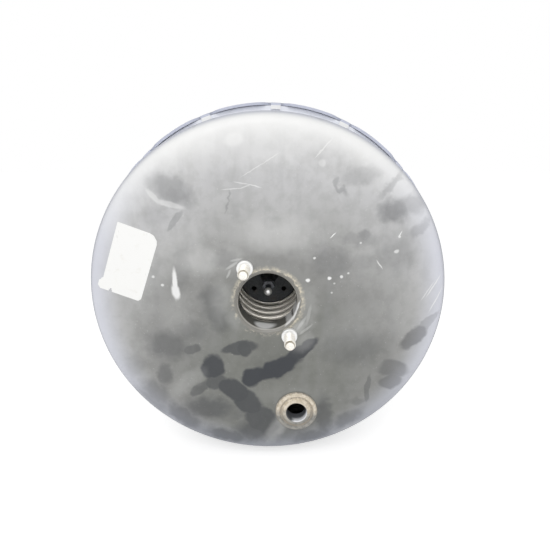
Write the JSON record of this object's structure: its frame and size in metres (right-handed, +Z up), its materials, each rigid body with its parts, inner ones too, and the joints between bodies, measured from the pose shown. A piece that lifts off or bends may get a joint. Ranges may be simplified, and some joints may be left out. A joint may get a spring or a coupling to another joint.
{
  "type": "vacuum brake booster",
  "caption": "Round vacuum brake booster in black steel, with front studs and bore, a vacuum grommet, firewall studs, dust boot and a sliding push rod with a clevis.",
  "frame": {"origin": "centre of the firewall mounting face on the push-rod axis", "axes": "+Y along the push-rod axis towards the pedal, -Y towards the master cylinder, +Z up, +X to the right seen from the front"},
  "size_m": [0.2744, 0.2502, 0.2744],
  "materials": {
    "casing_paint": "satin black paint",
    "zinc_steel": "zinc plated",
    "spring_steel": "drawn wire, light zinc",
    "bare_steel": "ground",
    "phenolic": "moulded",
    "rubber_black": "moulded",
    "rubber_grommet": "dusty",
    "nylon": "natural",
    "foam": "open foam",
    "felt": "pressed felt"
  },
  "bodies": {
    "casing": {"front_shell": "casing_paint", "rear_shell": "casing_paint", "front_reinforcement": "zinc_steel", "rear_reinforcement": "zinc_steel", "master_cylinder_studs": "zinc_steel", "firewall_studs": "zinc_steel", "spring_seat": "zinc_steel", "vacuum_grommet": "rubber_grommet", "shaft_seal": "rubber_black", "neck_bush": "nylon", "seal_retainer": "zinc_steel", "dust_boot": "rubber_black", "diaphragm": "rubber_black", "return_spring": "spring_steel"},
    "power_piston": {"diaphragm_plate": "zinc_steel", "valve_body": "phenolic", "reaction_disc": "rubber_black", "output_rod": "bare_steel", "output_rod_adjuster": "bare_steel", "output_rod_retainer": "zinc_steel", "stop_key": "bare_steel", "poppet_valve": "rubber_black", "poppet_spring": "spring_steel", "poppet_retainer": "zinc_steel", "input_return_spring": "spring_steel", "air_silencer": "foam", "air_filter": "felt"},
    "plunger": {"valve_plunger": "bare_steel"},
    "input_rod": {"input_rod": "zinc_steel", "lock_nut": "zinc_steel", "clevis": "zinc_steel"}
  },
  "joints": [
    {"name": "piston_slide", "type": "slide", "parent": "casing", "child": "power_piston", "axis": [0, -1, 0], "range_m": [0, 0.032], "stiffness_N_per_m": 3000, "springref_m": -0.03, "deforming": ["return_spring", "diaphragm", "dust_boot"]},
    {"name": "plunger_slide", "type": "slide", "parent": "power_piston", "child": "plunger", "axis": [0, -1, 0], "range_m": [0, 0.0014], "stiffness_N_per_m": 2500, "springref_m": -0.01, "deforming": ["input_return_spring", "dust_boot"]},
    {"name": "rod_tilt", "type": "hinge", "parent": "plunger", "child": "input_rod", "pos_m": [0, 0.011, 0], "axis": [1, 0, 0], "range_deg": [-3, 3], "stiffness_Nm_per_rad": 4, "deforming": ["input_return_spring", "dust_boot"]}
  ]
}
